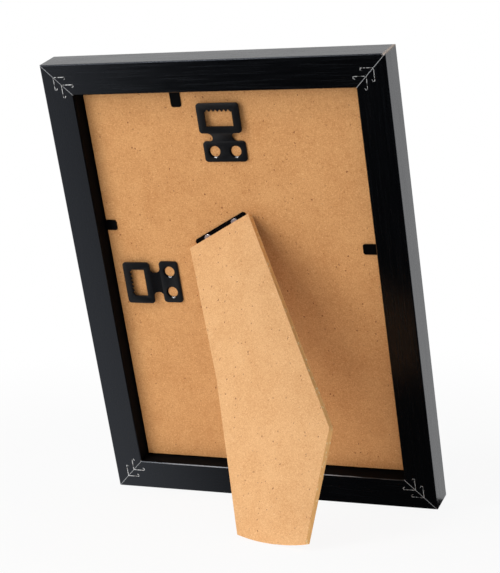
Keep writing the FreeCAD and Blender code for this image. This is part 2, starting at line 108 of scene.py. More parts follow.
# %% Place the camera
PICTURE_HEIGHT_PIXELS = 573
FOCAL_PIXELS = 1702.8
SENSOR = 36.0
CAMERA_PLACE = Vector((-0.306894, 0.676973, 0.170110))
CAMERA_AIM = Vector((-0.007576, 0.0, 0.101801))
CAMERA_ROLL = math.radians(-0.94)

camera_data = bpy.data.cameras.new("photo_camera")
camera_data.sensor_fit = "VERTICAL"
camera_data.sensor_height = SENSOR
camera_data.lens = SENSOR * FOCAL_PIXELS / PICTURE_HEIGHT_PIXELS
camera = bpy.data.objects.new("photo_camera", camera_data)
bpy.context.scene.collection.objects.link(camera)
facing = (CAMERA_AIM - CAMERA_PLACE).to_track_quat("-Z", "Y").to_matrix().to_4x4()
rolled = facing @ Matrix.Rotation(CAMERA_ROLL, 4, "Z")
camera.matrix_world = Matrix.Translation(CAMERA_PLACE) @ rolled
bpy.context.scene.camera = camera
print("lens %.1f mm" % camera_data.lens)

# %% [markdown]
# ## Helpers for materials
#
# A material is a small network of nodes. A few helpers keep it readable: they add a node, fill its inputs
# with values or with links from other nodes, do arithmetic, and mix two colours. Every finish below reads
# Object coordinates, so a pattern stays on its piece however the piece moves.

# %% Adding nodes
def fill(tree, socket, value):
    """Gives an input its value, or joins it to the output of another node."""
    if isinstance(value, bpy.types.NodeSocket):
        tree.links.new(value, socket)
    else:
        socket.default_value = value


def fill_inputs(tree, node, **inputs):
    """Fills a node's inputs by their names, written with underscores for spaces."""
    for name, value in inputs.items():
        fill(tree, node.inputs[name.replace("_", " ")], value)


def add(tree, kind, settings=None, **inputs):
    """A new node. Settings are its own options, and the other names are its input sockets."""
    made = tree.nodes.new(kind)
    for name, value in (settings or {}).items():
        setattr(made, name, value)
    fill_inputs(tree, made, **inputs)
    return made


print("node helpers ready")

# %% Arithmetic and colours
NOISE_MIDDLE = 0.5
MIX_SHARE, MIX_FIRST, MIX_SECOND, MIX_RESULT = 0, 6, 7, 2


def math_node(tree, operation, *values, clamp=False):
    """The result of an arithmetic node on one, two or three values."""
    made = add(tree, "ShaderNodeMath", {"operation": operation, "use_clamp": clamp})
    for socket, value in zip(made.inputs, values):
        fill(tree, socket, value)
    return made.outputs[0]


def vector_node(tree, operation, *vectors, output="Vector"):
    """The result of a vector arithmetic node, which for a length or a product is its Value."""
    made = add(tree, "ShaderNodeVectorMath", {"operation": operation})
    for socket, vector in zip(made.inputs, vectors):
        fill(tree, socket, vector)
    return made.outputs[output]


def mix_colour(tree, share, first, second):
    """The colour that lies between two others, by a share from 0 to 1."""
    made = add(tree, "ShaderNodeMix", {"data_type": "RGBA"})
    for index, value in ((MIX_SHARE, share), (MIX_FIRST, first), (MIX_SECOND, second)):
        fill(tree, made.inputs[index], value)
    return made.outputs[MIX_RESULT]


def ramp(tree, value, span, result=(0.0, 1.0)):
    """A value's span, from one end to the other, carried smoothly to the ends of a result."""
    settings = {"interpolation_type": "SMOOTHSTEP"}
    made = add(tree, "ShaderNodeMapRange", settings, Value=value, From_Min=span[0], From_Max=span[1])
    fill_inputs(tree, made, To_Min=result[0], To_Max=result[1])
    return made.outputs["Result"]


def swing(tree, noise, reach):
    """A noise from 0 to 1, made to swing about zero with that reach."""
    return math_node(tree, "MULTIPLY", math_node(tree, "SUBTRACT", noise, NOISE_MIDDLE), reach)


def grey(value):
    """A neutral colour of that lightness."""
    return (value, value, value, 1.0)


print("arithmetic and colour helpers ready")

# %% Groups and materials
def new_group(name, inputs, outputs):
    """An empty node group with named value, colour or vector sockets."""
    group = bpy.data.node_groups.new(name, "ShaderNodeTree")
    for way, sockets in (("INPUT", inputs), ("OUTPUT", outputs)):
        for title, (kind, default) in sockets.items():
            socket = group.interface.new_socket(title, in_out=way, socket_type="NodeSocket" + kind)
            if default is not None:
                socket.default_value = default
    entry = group.nodes.new("NodeGroupInput")
    leave = group.nodes.new("NodeGroupOutput")
    return group, entry.outputs, leave.inputs


def use_group(tree, group, **inputs):
    """A group placed in a material, with its own values, given back as its outputs."""
    return add(tree, "ShaderNodeGroup", {"node_tree": group}, **inputs).outputs


def new_material(name):
    """A fresh material with its tree, its surface shader and its output already joined."""
    made = bpy.data.materials.new(name)
    made.use_nodes = True
    tree = made.node_tree
    tree.nodes.clear()
    surface = tree.nodes.new("ShaderNodeBsdfPrincipled")
    output = tree.nodes.new("ShaderNodeOutputMaterial")
    tree.links.new(surface.outputs["BSDF"], output.inputs["Surface"])
    return made, tree, surface


def add_relief(tree, surface, height_map, strength, distance):
    """Gives a surface small relief that follows a height."""
    bump = add(tree, "ShaderNodeBump", Strength=strength, Distance=distance, Height=height_map)
    tree.links.new(bump.outputs["Normal"], surface.inputs["Normal"])


def paint(names, material):
    """Gives CAD parts their material."""
    for name in names:
        mesh = nodes[name].data
        mesh.materials.clear()
        mesh.materials.append(material)
    print(material.name, "on", ", ".join(names))


print("group and material helpers ready")

# %% [markdown]
# ## Shared effects as node groups
#
# What several finishes need is built once, as a group with named sockets: the frame's own axes in
# millimetres, a fine random grain, and small specks. A group only works out numbers and colours. The
# shader that turns them into a surface stays in each material.

# %% The frame's own axes
own_axes, _, own_out = new_group("own_axes", {}, {"Point": ("Vector", None)})
coordinates = own_axes.nodes.new("ShaderNodeTexCoord")
origin_world = out_of_back * back_level + up_the_rails * bottom_level
turn = Matrix.Rotation(lean, 3, "X")
turned = add(
    own_axes,
    "ShaderNodeMapping",
    {"vector_type": "POINT"},
    Vector=coordinates.outputs["Object"],
    Location=-(turn @ origin_world) * MILLIMETRES,
    Rotation=(lean, 0.0, 0.0),
    Scale=(MILLIMETRES, MILLIMETRES, MILLIMETRES),
)
own_axes.links.new(turned.outputs["Vector"], own_out["Point"])
known = turn @ (back_point - origin_world) * MILLIMETRES
print("the known point is %.1f mm up, and %.2f mm off the back face" % (known.z, abs(known.y)))

# %% Fine grain
FINER = 3.0
EVEN = (1.0, 1.0, 1.0)
NOISE_SPAN = (0.3, 0.7)

grain, grain_in, grain_out = new_group(
    "fine_grain",
    {"Point": ("Vector", None), "Stretch": ("Vector", EVEN), "Scale": ("Float", 1.0)},
    {"Coarse": ("Float", None), "Fine": ("Float", None)},
)
stretched = vector_node(grain, "MULTIPLY", grain_in["Point"], grain_in["Stretch"])
coarse = add(
    grain, "ShaderNodeTexNoise",
    Vector=stretched, Scale=grain_in["Scale"], Detail=3.0, Roughness=0.65,
)
fine_scale = math_node(grain, "MULTIPLY", grain_in["Scale"], FINER)
fine = add(
    grain, "ShaderNodeTexNoise",
    Vector=stretched, Scale=fine_scale, Detail=4.0, Roughness=0.7,
)
grain.links.new(coarse.outputs["Fac"], grain_out["Coarse"])
grain.links.new(fine.outputs["Fac"], grain_out["Fine"])
print("grain group:", len(grain.nodes), "nodes")

# %% [markdown]
# A speck is a small dark or pale fleck with an uneven rim. A Voronoi texture scatters one point in each of
# its cells. A cell's random colour decides whether its point becomes a speck at all, and how strong.

# %% Specks
WOBBLE = (1.3, 1.3, 1.3)
RIM_SHARPNESS = 14.0
FAINTEST = 0.35

specks, specks_in, specks_out = new_group(
    "specks",
    {
        "Point": ("Vector", None),
        "Stretch": ("Vector", EVEN),
        "Scale": ("Float", 0.5),
        "Size": ("Float", 0.2),
        "Share": ("Float", 0.4),
    },
    {"Mask": ("Float", None)},
)
wobble = add(specks, "ShaderNodeTexNoise", Vector=specks_in["Point"], Scale=1.6, Detail=2.0)
uneven = vector_node(specks, "MULTIPLY_ADD", wobble.outputs["Color"], WOBBLE, specks_in["Point"])
speck_place = vector_node(specks, "MULTIPLY", uneven, specks_in["Stretch"])
cells = add(specks, "ShaderNodeTexVoronoi", Vector=speck_place, Scale=specks_in["Scale"])
chance = add(specks, "ShaderNodeSeparateColor", Color=cells.outputs["Color"])
near = math_node(specks, "SUBTRACT", specks_in["Size"], cells.outputs["Distance"])
soft = math_node(specks, "MULTIPLY", near, RIM_SHARPNESS, clamp=True)
chosen = math_node(specks, "LESS_THAN", chance.outputs["Red"], specks_in["Share"])
full = math_node(specks, "MULTIPLY", soft, chosen)
depth = math_node(specks, "MULTIPLY_ADD", chance.outputs["Green"], 1.0 - FAINTEST, FAINTEST)
faded = math_node(specks, "MULTIPLY", full, depth)
specks.links.new(faded, specks_out["Mask"])
print("speck group:", len(specks.nodes), "nodes")

# %% [markdown]
# ## Black lacquer on the rails
#
# The rails are machined wood, sprayed black in one satin coat, and joined with a mitre at each corner.
# The wood barely shows: long faint streaks lie along each rail under the paint. Where two rails meet, the
# coat breaks, and a thin pale line runs from the outer to the inner corner. The seam is found with the
# frame's own axes: on it, a point is as far from the outer side as from the outer top or bottom.

# %% The pale seam of a mitre
SEAM_SPAN = (0.256, 0.128)
SEAM_WANDER = 0.25
SEAM_BREAKS = (0.36, 0.50)


def distance_from_sides(tree, point):
    """How far a point lies in from the nearer upright side, and from the nearer end, in millimetres."""
    parts = add(tree, "ShaderNodeSeparateXYZ", Vector=point)
    off_middle = math_node(tree, "ABSOLUTE", parts.outputs["X"])
    from_side = math_node(tree, "SUBTRACT", MILLIMETRES * half_width, off_middle)
    half_height = MILLIMETRES * height / 2.0
    above_middle = math_node(tree, "SUBTRACT", parts.outputs["Z"], half_height)
    off_centre = math_node(tree, "ABSOLUTE", above_middle)
    from_end = math_node(tree, "SUBTRACT", half_height, off_centre)
    return parts, from_side, from_end


def mitre_seam(tree, from_side, from_end, peel):
    """A mask of the seams, which wander a little and come and go."""
    off_seam = math_node(tree, "ABSOLUTE", math_node(tree, "SUBTRACT", from_side, from_end))
    seam_place = math_node(tree, "ADD", off_seam, swing(tree, peel["Coarse"], SEAM_WANDER))
    line = ramp(tree, seam_place, SEAM_SPAN)
    return math_node(tree, "MULTIPLY", line, ramp(tree, peel["Fine"], SEAM_BREAKS))


print("a seam fades out %.2f mm from the mitre" % SEAM_SPAN[0])

# %% [markdown]
# Two marks lie on the coat. Use has worn the upper corner on the -X side down to the wood, in a patch
# with a ragged rim. And along the bottom rail, a thin pale line runs on the inner edge of the back.

# %% The worn corner and the pale edge line
WORN_CORNER = Vector((-MILLIMETRES * half_width, 0.0, MILLIMETRES * height))
IN_THE_BACK = (1.0, 0.0, 1.0)
RAGGED_RIM = 2.6
WORN_OUTSIDE, WORN_INSIDE = 1.4, 0.7
BACK_INSET = 13.9
EDGE_SPAN = (BACK_INSET - 0.35, BACK_INSET - 0.15)
EDGE_DEPTH = (-0.6, -0.3)
LOW_RAIL_TOP = BACK_INSET + 0.5
EDGE_LINE_BREAKS, EDGE_LINE_STRENGTH = (0.40, 0.58), (0.05, 0.6)


def bare_corner(tree, point, peel, reach):
    """A mask of the worn corner, which reaches about that many millimetres."""
    from_corner = vector_node(tree, "SUBTRACT", point, WORN_CORNER)
    flat = vector_node(tree, "MULTIPLY", from_corner, IN_THE_BACK)
    distance = vector_node(tree, "LENGTH", flat, output="Value")
    ragged = math_node(tree, "ADD", distance, swing(tree, peel["Coarse"], RAGGED_RIM))
    return ramp(tree, ragged, (reach * WORN_OUTSIDE, reach * WORN_INSIDE))


def pale_edge_line(tree, parts, inset, streaks):
    """A mask of the pale line on the bottom rail's inner edge."""
    at_edge = ramp(tree, inset, EDGE_SPAN)
    near_back = ramp(tree, parts.outputs["Y"], EDGE_DEPTH)
    low_rail = math_node(tree, "LESS_THAN", parts.outputs["Z"], LOW_RAIL_TOP)
    line = math_node(tree, "MULTIPLY", math_node(tree, "MULTIPLY", at_edge, near_back), low_rail)
    edge_line_gaps = ramp(tree, streaks["Coarse"], EDGE_LINE_BREAKS, EDGE_LINE_STRENGTH)
    return math_node(tree, "MULTIPLY", line, edge_line_gaps)


print("worn corner at", WORN_CORNER[:])

# %% The lacquer itself
LACQUER = (0.0006, 0.0007, 0.0010, 1.0)
LACQUER_GLEAM = (0.74, 0.81, 0.95, 1.0)
LACQUER_ROUGHNESS = (0.19, 0.29)
SEAM_DUST = (0.36, 0.37, 0.38, 1.0)
SEAM_STRENGTH = 0.8
SEAM_DEPTH = 1.5
STREAK_DEPTH = 0.5
RAW_WOOD = (0.56, 0.42, 0.31, 1.0)
RAW_PATCHES = (0.42, 0.58)
RAW_ROUGHNESS = 0.9
STREAKS_ACROSS, STREAKS_UPRIGHT = (0.04, 1.0, 1.0), (1.0, 1.0, 0.04)


def lacquer(name, stretch, wear):
    """Black satin lacquer, with streaks along the rail, and a corner worn bare as far as wear reaches."""
    made, tree, surface = new_material(name)
    own = use_group(tree, own_axes)
    parts, from_side, from_end = distance_from_sides(tree, own["Point"])
    streaks = use_group(tree, grain, Point=own["Point"], Stretch=stretch, Scale=0.9)
    peel = use_group(tree, grain, Point=own["Point"], Scale=2.2)
    seam = mitre_seam(tree, from_side, from_end, peel)
    worn = bare_corner(tree, own["Point"], peel, wear)
    inset = math_node(tree, "MINIMUM", from_side, from_end)
    edge_line_mask = pale_edge_line(tree, parts, inset, streaks)

    dusty = math_node(tree, "MULTIPLY", seam, SEAM_STRENGTH)
    painted = mix_colour(tree, dusty, LACQUER, SEAM_DUST)
    painted = mix_colour(tree, edge_line_mask, painted, SEAM_DUST)
    bare = mix_colour(tree, ramp(tree, peel["Fine"], RAW_PATCHES), RAW_WOOD, SEAM_DUST)
    coloured = mix_colour(tree, worn, painted, bare)

    sheen = ramp(tree, streaks["Coarse"], NOISE_SPAN, LACQUER_ROUGHNESS)
    raw = math_node(tree, "MULTIPLY", worn, RAW_ROUGHNESS)
    matted = math_node(tree, "MAXIMUM", sheen, raw)
    fill_inputs(tree, surface, Base_Color=coloured, Roughness=matted)
    fill_inputs(tree, surface, Specular_IOR_Level=0.44, Specular_Tint=LACQUER_GLEAM)

    wood = math_node(tree, "MULTIPLY", streaks["Fine"], STREAK_DEPTH)
    coat = math_node(tree, "ADD", wood, peel["Coarse"])
    groove = math_node(tree, "MULTIPLY", seam, SEAM_DEPTH)
    relief = math_node(tree, "SUBTRACT", coat, groove)
    add_relief(tree, surface, relief, strength=0.06, distance=0.0004)
    return made


paint(["rail_top", "rail_bottom"], lacquer("lacquer_cross", STREAKS_ACROSS, wear=1.15))
paint(["rail_left", "rail_right"], lacquer("lacquer_upright", STREAKS_UPRIGHT, wear=0.4))

# %% [markdown]
# ## The walls inside the opening
#
# The spray gun points at the back, so the deep walls of the opening get only its dust. They are a matt
# black that mirrors almost nothing. Their faces are picked by place: they stand upright on the back, lie
# deeper than its eased edge, and are farther in from the outside than the back reaches.

# %% The walls inside the opening
WALL_DEPTH = -0.0004
WALL_ROUGHNESS = (0.7, 0.9)
WALL_SLOT = 1
UPRIGHT = 0.1
OVERSPRAY = (0.004, 0.004, 0.005, 1.0)

inside_wall, wall_tree, wall_surface = new_material("overspray_wall")
wall_own = use_group(wall_tree, own_axes)
wall_grain = use_group(wall_tree, grain, Point=wall_own["Point"], Scale=1.5)
fill_inputs(
    wall_tree,
    wall_surface,
    Base_Color=mix_colour(wall_tree, wall_grain["Coarse"], LACQUER, OVERSPRAY),
    Roughness=ramp(wall_tree, wall_grain["Fine"], NOISE_SPAN, WALL_ROUGHNESS),
    Specular_IOR_Level=0.08,
)

wall_faces = 0
for name in ("rail_top", "rail_bottom", "rail_left", "rail_right"):
    mesh = nodes[name].data
    mesh.materials.append(inside_wall)
    for face in mesh.polygons:
        from_middle = face.center - origin_world - up_the_rails * height / 2.0
        inset_here = min(
            half_width - abs(across.dot(from_middle)),
            height / 2.0 - abs(up_the_rails.dot(from_middle)),
        )
        upright = abs(face.normal.dot(out_of_back)) < UPRIGHT
        deep = out_of_back.dot(from_middle) < WALL_DEPTH
        if upright and deep and MILLIMETRES * inset_here > BACK_INSET:
            face.material_index = WALL_SLOT
            wall_faces += 1
print("dull wall faces:", wall_faces)

# %% [markdown]
# ## Fibreboard
#
# The back panel and the leg are thin hardboard: wood fibres pressed flat and smooth. Seen close, it is a
# warm tan with cloudy patches, short darker fibres, pale flecks and a few reddish brown specks. The
# pattern is laid in that order, one layer over the other. One group holds it, and the two boards use it
# with their own colours. The leg's colours are paler than the panel's: partly a tint of its own, partly
# painted light, for the leg's face that is turned more to the lamp.

# %% Clouds and fibres of the board
CLOUD_SHARE = 0.35
FIBRES_UP, FIBRES_ACROSS = (1.6, 1.0, 0.6), (0.6, 1.0, 1.6)
DARK_SPAN, DARK_SHARE = (0.50, 0.80), (0.55, 0.0)
PALE_SPAN, PALE_SHARE = (0.50, 0.66), (0.0, 0.30)
WISP_SPAN, WISP_SHARE = (0.56, 0.38), (0.0, 0.75)

fibres, fibres_in, fibres_out = new_group(
    "pressed_fibres",
    {
        "Point": ("Vector", None),
        "Base": ("Color", grey(0.5)),
        "Dark": ("Color", grey(0.2)),
        "Pale": ("Color", grey(0.8)),
    },
    {"Color": ("Color", None), "Height": ("Float", None), "Roughness": ("Float", None)},
)


def halfway(first, second):
    """The mean of two values in the fibre group."""
    return math_node(fibres, "MULTIPLY", math_node(fibres, "ADD", first, second), 0.5)


clouds = use_group(fibres, grain, Point=fibres_in["Point"], Scale=0.08)
upward = use_group(fibres, grain, Point=fibres_in["Point"], Stretch=FIBRES_UP, Scale=1.5)
sideways = use_group(fibres, grain, Point=fibres_in["Point"], Stretch=FIBRES_ACROSS, Scale=1.5)
tangle = halfway(sideways["Coarse"], upward["Coarse"])
wisps = halfway(sideways["Fine"], upward["Fine"])
clouded = math_node(fibres, "MULTIPLY", clouds["Coarse"], CLOUD_SHARE)
shade = math_node(fibres, "ADD", clouded, tangle)
darker = ramp(fibres, shade, DARK_SPAN, DARK_SHARE)
board_colour = mix_colour(fibres, darker, fibres_in["Base"], fibres_in["Dark"])
paler = ramp(fibres, tangle, PALE_SPAN, PALE_SHARE)
board_colour = mix_colour(fibres, paler, board_colour, fibres_in["Pale"])
wispy = ramp(fibres, wisps, WISP_SPAN, WISP_SHARE)
board_colour = mix_colour(fibres, wispy, board_colour, fibres_in["Dark"])
print("clouds and fibres:", len(fibres.nodes), "nodes")

# %% Flecks, dashes and dots of the board
KNOT = (0.15, 0.026, 0.006, 1.0)
BOARD_SPAN, BOARD_ROUGHNESS = (0.4, 0.6), (0.62, 0.78)

# Each layer: stretch, cells per millimetre, size, share of the cells, strength, colour.
LAYERS = (
    ((0.8, 1.0, 0.9), 0.70, 0.20, 0.30, 0.50, fibres_in["Pale"]),
    ((0.5, 1.0, 1.2), 0.66, 0.19, 0.55, 0.75, fibres_in["Dark"]),
    ((1.3, 1.0, 0.6), 0.80, 0.20, 0.45, 0.80, fibres_in["Dark"]),
    ((1.0, 1.0, 0.7), 0.46, 0.16, 0.55, 0.95, KNOT),
)
for stretch, scale, size, share, strength, colour in LAYERS:
    scattered = use_group(
        fibres, specks,
        Point=fibres_in["Point"], Stretch=stretch, Scale=scale, Size=size, Share=share,
    )
    covering = math_node(fibres, "MULTIPLY", scattered["Mask"], strength)
    board_colour = mix_colour(fibres, covering, board_colour, colour)
fibres.links.new(board_colour, fibres_out["Color"])
fibres.links.new(math_node(fibres, "ADD", tangle, wisps), fibres_out["Height"])
fibres.links.new(ramp(fibres, tangle, BOARD_SPAN, BOARD_ROUGHNESS), fibres_out["Roughness"])
print("whole fibre group:", len(fibres.nodes), "nodes")


# %% Board and leg
def fibreboard(name, base, dark, pale):
    """Pressed hardboard in the colours that are given."""
    made, tree, surface = new_material(name)
    own = use_group(tree, own_axes)
    pattern = use_group(tree, fibres, Point=own["Point"], Base=base, Dark=dark, Pale=pale)
    fill_inputs(tree, surface, Base_Color=pattern["Color"], Roughness=pattern["Roughness"])
    fill_inputs(tree, surface, Specular_IOR_Level=0.25)
    add_relief(tree, surface, pattern["Height"], strength=0.25, distance=0.0003)
    return made


board_finish = fibreboard(
    "hardboard_panel",
    base=(0.67, 0.355, 0.140, 1.0),
    dark=(0.40, 0.155, 0.040, 1.0),
    pale=(0.80, 0.50, 0.24, 1.0),
)
# The leg's paler colours are partly painted light, for its face turned more to the lamp.
leg_finish_painted_paler = fibreboard(
    "hardboard_leg_painted_paler",
    base=(0.775, 0.462, 0.220, 1.0),
    dark=(0.52, 0.24, 0.08, 1.0),
    pale=(0.88, 0.61, 0.35, 1.0),
)
paint(["backing_board"], board_finish)

# %% [markdown]
# ## The leg's worn edges
#
# The leg is punched out of a larger board, and its edges are soft: the corners of the sheet are rubbed
# round, and the cut sides are a little uneven. The CAD leg has knife-sharp edges, so a copy of it is
# worked over. Its loose triangles are merged, the outline gets more points, all sharp edges are bevelled,
# and a weak noise moves the points of the cut sides, while the two pressed faces stay flat.

# %% Helpers for reworked copies
SAME_PLACE = 1e-6
FLAT_DEGREES = 0.3
SMOOTH_DEGREES = 40.0
BEVEL_SEGMENTS = 2


def start_copy(name, new_name):
    """A merged copy of a CAD part with its own mesh, left in edit mode."""
    bpy.ops.object.select_all(action="DESELECT")
    piece = bpy.data.objects.new(new_name, nodes[name].data.copy())
    bpy.context.scene.collection.objects.link(piece)
    piece.data.materials.clear()
    piece.select_set(True)
    bpy.context.view_layer.objects.active = piece
    bpy.ops.mesh.customdata_custom_splitnormals_clear()
    bpy.ops.object.mode_set(mode="EDIT")
    bpy.ops.mesh.select_mode(type="EDGE")
    bpy.ops.mesh.select_all(action="SELECT")
    bpy.ops.mesh.remove_doubles(threshold=SAME_PLACE)
    bpy.ops.mesh.dissolve_limited(angle_limit=math.radians(FLAT_DEGREES))
    return piece


def bevel_sharp(offset, sharp_degrees):
    """Rounds the edges of the piece in edit mode that are sharper than the angle."""
    bpy.ops.mesh.select_all(action="DESELECT")
    bpy.ops.mesh.edges_select_sharp(sharpness=math.radians(sharp_degrees))
    bpy.ops.mesh.bevel(
        offset=offset, segments=BEVEL_SEGMENTS, affect="EDGES", clamp_overlap=True
    )


def finish_copy(piece, name, materials):
    """Leaves edit mode, shades the piece and lets it stand for the CAD part it was copied from."""
    bpy.ops.object.mode_set(mode="OBJECT")
    bpy.ops.object.shade_smooth_by_angle(angle=math.radians(SMOOTH_DEGREES))
    for material in materials:
        piece.data.materials.append(material)
    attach(piece, nodes[name]["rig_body"])
    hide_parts(name)
    print(piece.name, len(piece.data.polygons), "faces")


print("corners closer than %.3f mm are merged" % (MILLIMETRES * SAME_PLACE))

# %% The leg with soft edges
OUTLINE_STEP = 0.0036
LONG_EDGE = 0.0072
LEG_SOFTNESS = 0.00035
LEG_SHARP_DEGREES = 50.0

leg = start_copy("easel_leg", "leg_soft")
bpy.ops.object.mode_set(mode="OBJECT")
widest = max(leg.data.polygons, key=lambda face: face.area)
leg_facing = widest.normal.copy()
leg_levels = [leg_facing.dot(vertex.co) for vertex in leg.data.vertices]
low_face, high_face = min(leg_levels), max(leg_levels)
bpy.ops.object.mode_set(mode="EDIT")
bpy.ops.mesh.select_all(action="DESELECT")
bpy.ops.object.mode_set(mode="OBJECT")


def is_outline(edge):
    """True for a long edge that runs round one of the leg's two faces."""
    first, last = (leg.data.vertices[index].co for index in edge.vertices)
    level_first, level_last = leg_facing.dot(first), leg_facing.dot(last)
    flat = abs(level_first - level_last) < SAME_PLACE
    on_face = min(abs(level_first - low_face), abs(level_first - high_face)) < SAME_PLACE
    return flat and on_face and (first - last).length > LONG_EDGE


long_edges = [edge for edge in leg.data.edges if is_outline(edge)]
ends = [[leg.data.vertices[index].co for index in edge.vertices] for edge in long_edges]
longest = max((first - last).length for first, last in ends)
print("leg thickness %.2f mm" % (MILLIMETRES * (high_face - low_face)))
print(len(long_edges), "long edges, the longest %.1f mm" % (MILLIMETRES * longest))
for edge in long_edges:
    edge.select = True
bpy.ops.object.mode_set(mode="EDIT")
bpy.ops.mesh.subdivide(number_cuts=int(longest / OUTLINE_STEP))
bevel_sharp(LEG_SOFTNESS, LEG_SHARP_DEGREES)
bpy.ops.object.mode_set(mode="OBJECT")

# %% The leg's uneven cut sides
RAGGEDNESS = 0.00035
RAGGED_SIZE = 0.0022
RAGGED_MIDDLE = 0.65
PRESSED_SKIN = 2e-5

cut_sides = leg.vertex_groups.new(name="cut_sides")
between = [
    vertex.index
    for vertex in leg.data.vertices
    if low_face + PRESSED_SKIN < leg_facing.dot(vertex.co) < high_face - PRESSED_SKIN
]
cut_sides.add(between, 1.0, "REPLACE")
noise = bpy.data.textures.new("cut_noise", "CLOUDS")
noise.noise_scale = RAGGED_SIZE
ragged = leg.modifiers.new("ragged", "DISPLACE")
ragged.texture = noise
ragged.strength = RAGGEDNESS
ragged.mid_level = RAGGED_MIDDLE
ragged.vertex_group = cut_sides.name
bpy.ops.object.modifier_apply(modifier=ragged.name)
print("points moved on the cut sides:", len(between))

# %% [markdown]
# The cut sides show the torn inside of the board: rougher than the pressed faces, more orange, and dotted
# with the pale ends of fibres. Their colours are also much lighter than the board's own: painted light,
# for this side turns away from the key lamp and gets little of it. They get a second material.

# %% The leg's cut sides get their own finish, with painted light
# These two tones are the cut side's orange, painted lighter as painted light.
CUT_DARKER_PAINTED_LIT, CUT_PALER_PAINTED_LIT = (0.80, 0.41, 0.14, 1.0), (0.96, 0.56, 0.23, 1.0)
FIBRE_END = (0.98, 0.76, 0.44, 1.0)
PRESSED_SLANT = 0.9
CUT_SLOT = 1

cut_side_painted_light, sawn_tree, sawn_surface = new_material("hardboard_cut_side_painted_light")
sawn_own = use_group(sawn_tree, own_axes)
sawn_grain = use_group(sawn_tree, grain, Point=sawn_own["Point"], Scale=1.4)
cut_tone_painted_lit = mix_colour(sawn_tree, sawn_grain["Coarse"], CUT_DARKER_PAINTED_LIT, CUT_PALER_PAINTED_LIT)
sawn_flecks = use_group(
    sawn_tree, specks,
    Point=sawn_own["Point"], Stretch=EVEN, Scale=0.75, Size=0.42, Share=0.45,
)
cut_colour_painted_lit = mix_colour(sawn_tree, sawn_flecks["Mask"], cut_tone_painted_lit, FIBRE_END)
fill_inputs(
    sawn_tree, sawn_surface, Base_Color=cut_colour_painted_lit, Roughness=0.9, Specular_IOR_Level=0.15
)
add_relief(sawn_tree, sawn_surface, sawn_grain["Fine"], strength=0.5, distance=0.0005)
bpy.ops.object.mode_set(mode="EDIT")
finish_copy(leg, "easel_leg", [leg_finish_painted_paler, cut_side_painted_light])
for face in leg.data.polygons:
    if abs(face.normal.dot(leg_facing)) < PRESSED_SLANT:
        face.material_index = CUT_SLOT
print("cut sides:", sum(face.material_index for face in leg.data.polygons), "faces")

# %% [markdown]
# ## Black steel
#
# The hangers, the hinge and the flexible points are thin sheet steel with a black coat, smoother than the
# lacquer. The coat of the hangers gleams a little, and that of the hinge and the points is duller and
# darker, so one function makes both finishes.

# %% Blackened sheet steel
STEEL_ROUGHNESS = (0.30, 0.44)


def black_steel(name, thin, thick, gleam):
    """Sheet steel with a black coat, from its thin places to its thick ones, and that much gleam."""
    made, tree, surface = new_material(name)
    own = use_group(tree, own_axes)
    coat = use_group(tree, grain, Point=own["Point"], Scale=1.3)
    tone = mix_colour(tree, coat["Coarse"], thick, thin)
    roughness = ramp(tree, coat["Coarse"], NOISE_SPAN, STEEL_ROUGHNESS)
    fill_inputs(tree, surface, Base_Color=tone, Roughness=roughness, Specular_IOR_Level=gleam)
    add_relief(tree, surface, coat["Fine"], strength=0.12, distance=0.0002)
    return made


hanger_finish = black_steel(
    "black_steel",
    thin=(0.006, 0.0064, 0.008, 1.0),
    thick=(0.0025, 0.0028, 0.004, 1.0),
    gleam=0.20,
)
dark_finish = black_steel(
    "black_steel_dull",
    thin=(0.0022, 0.0022, 0.0028, 1.0),
    thick=(0.0006, 0.0006, 0.0008, 1.0),
    gleam=0.06,
)
black_parts = [
    name
    for name in sorted(nodes)
    if name.startswith(("hinge", "tab_")) and not name.endswith("rivets")
]
paint(black_parts, dark_finish)
paint(["hanger_top", "hanger_side"], hanger_finish)

# %% [markdown]
# ## Hangers with rolled edges
#
# A hanger is stamped from sheet steel, and the die leaves its edges slightly rolled over. The rounding is
# only about a seventh of a millimetre, so it is bevelled onto merged copies of the CAD hangers. Two hollow
# collars clinch each hanger to the panel, and their mouths flare open. The flare gets the dull black as
# painted shade, for the shade inside the recessed mouth. Its bottom gets pale steel as a painted
# highlight, for the glint of the light from above. These faces are picked by how deep they lie below the
# front of the hanger's base, and by their slant.

# %% The painted glint on a collar's lip
LIP_PATCHES = (0.35, 0.6)
GLINT_PAINT_DULL, GLINT_PAINT_BRIGHT = grey(0.40), grey(0.80)
LIP_ROUGHNESS = (0.3, 0.5)

# The lip's pale steel is a painted highlight: it stands in for the glint at the bottom of each collar
# mouth.
lip, lip_tree, lip_surface = new_material("painted_glint_collar")
lip_own = use_group(lip_tree, own_axes)
lip_grain = use_group(lip_tree, grain, Point=lip_own["Point"], Scale=1.6)
lip_share = ramp(lip_tree, lip_grain["Coarse"], LIP_PATCHES)
fill_inputs(
    lip_tree,
    lip_surface,
    Base_Color=mix_colour(lip_tree, lip_share, GLINT_PAINT_DULL, GLINT_PAINT_BRIGHT),
    Roughness=ramp(lip_tree, lip_grain["Fine"], NOISE_SPAN, LIP_ROUGHNESS),
    Metallic=0.1,
)
print("lip finish:", len(lip_tree.nodes), "nodes")

# %% Rolled edges and collar mouths
ROLL = 0.00014
ROLL_SHARP_DEGREES = 30.0
FACES_OUT = 0.99
MOUTH_DEPTH = (0.00012, 0.00045)
MOUTH_SLANT = (0.4, 0.9)
MOUTH_BOTTOM = 0.68
PAINTED_SHADE_SLOT, PAINTED_GLINT_SLOT = 1, 2

